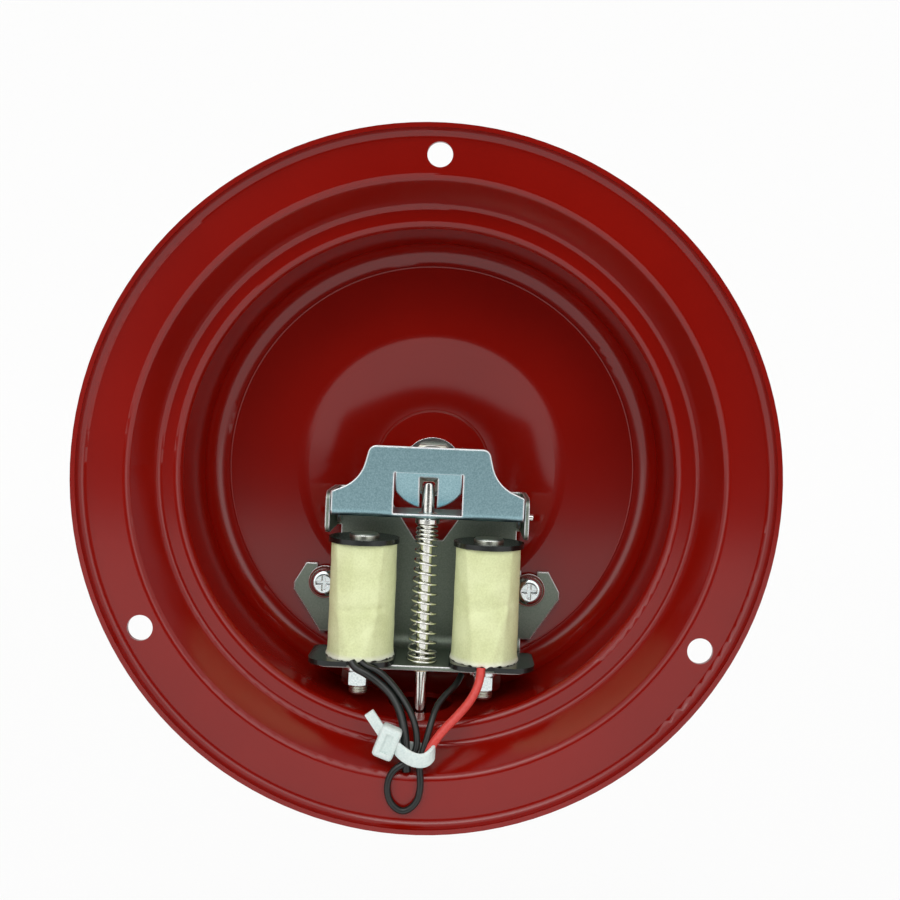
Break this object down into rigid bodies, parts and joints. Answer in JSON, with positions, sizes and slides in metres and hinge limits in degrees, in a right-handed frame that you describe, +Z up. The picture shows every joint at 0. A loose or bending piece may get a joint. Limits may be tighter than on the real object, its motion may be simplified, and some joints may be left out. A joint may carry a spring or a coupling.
{
  "type": "electric alarm bell",
  "caption": "Round electric alarm bell: a pressed dish with a gong bolted to its front and, in its open back, coils, a hinged armature and a sprung striker rod.",
  "frame": {"origin": "centre of the circle of wall holes, on the rear face of the rim flange", "axes": "+Z up as the bell hangs; +Y towards the wall, along the axis of dish and gong; +X to the left for someone who looks into the open back"},
  "size_m": [0.178, 0.0596, 0.178],
  "materials": {
    "red_enamel": "gloss",
    "zinc_steel": "satin",
    "dark_zinc": "satin",
    "bright_steel": "gloss",
    "brown_steel": "satin",
    "brass": "satin",
    "copper": "satin",
    "black_plastic": "satin",
    "pale_tape": "matte",
    "black_insulation": "satin",
    "red_insulation": "satin",
    "clear_nylon": "satin"
  },
  "bodies": {
    "bell": {"base_plate": "red_enamel", "gong": "red_enamel", "gong_spacer": "zinc_steel", "gong_front_washer": "zinc_steel", "gong_rear_washer": "bright_steel", "gong_nut": "bright_steel", "gong_bolt": "zinc_steel", "coil_frame": "dark_zinc", "frame_screws": "bright_steel", "frame_washers": "brown_steel", "left_core": "bright_steel", "right_core": "bright_steel", "left_bobbin": "black_plastic", "right_bobbin": "black_plastic", "left_winding": "copper", "right_winding": "copper", "left_wrap": "pale_tape", "right_wrap": "pale_tape", "core_lock_washers": "bright_steel", "core_nuts": "bright_steel", "armature_pin": "bright_steel", "rod_bush": "brass", "return_spring": "bright_steel", "black_lead": "black_insulation", "link_lead": "black_insulation", "red_lead": "red_insulation", "cable_tie": "clear_nylon"},
    "armature": {"armature": "zinc_steel"},
    "striker": {"striker_rod": "bright_steel", "striker_clip": "bright_steel"}
  },
  "joints": [
    {"name": "armature_swing", "type": "hinge", "parent": "bell", "child": "armature", "pos_m": [0, -0.0333, -0.0125], "axis": [-1, 0, 0], "range_deg": [0, 14.5], "stiffness_Nm_per_rad": 0.02, "springref_deg": -28.65},
    {"name": "striker_slide", "type": "slide", "parent": "bell", "child": "striker", "axis": [0, 0, -1], "range_m": [0, 0.0043], "deforming": ["return_spring"]}
  ],
  "couplings": [
    {"joint": "striker_slide", "follows": "armature_swing", "m_per_rad": 0.0166}
  ]
}
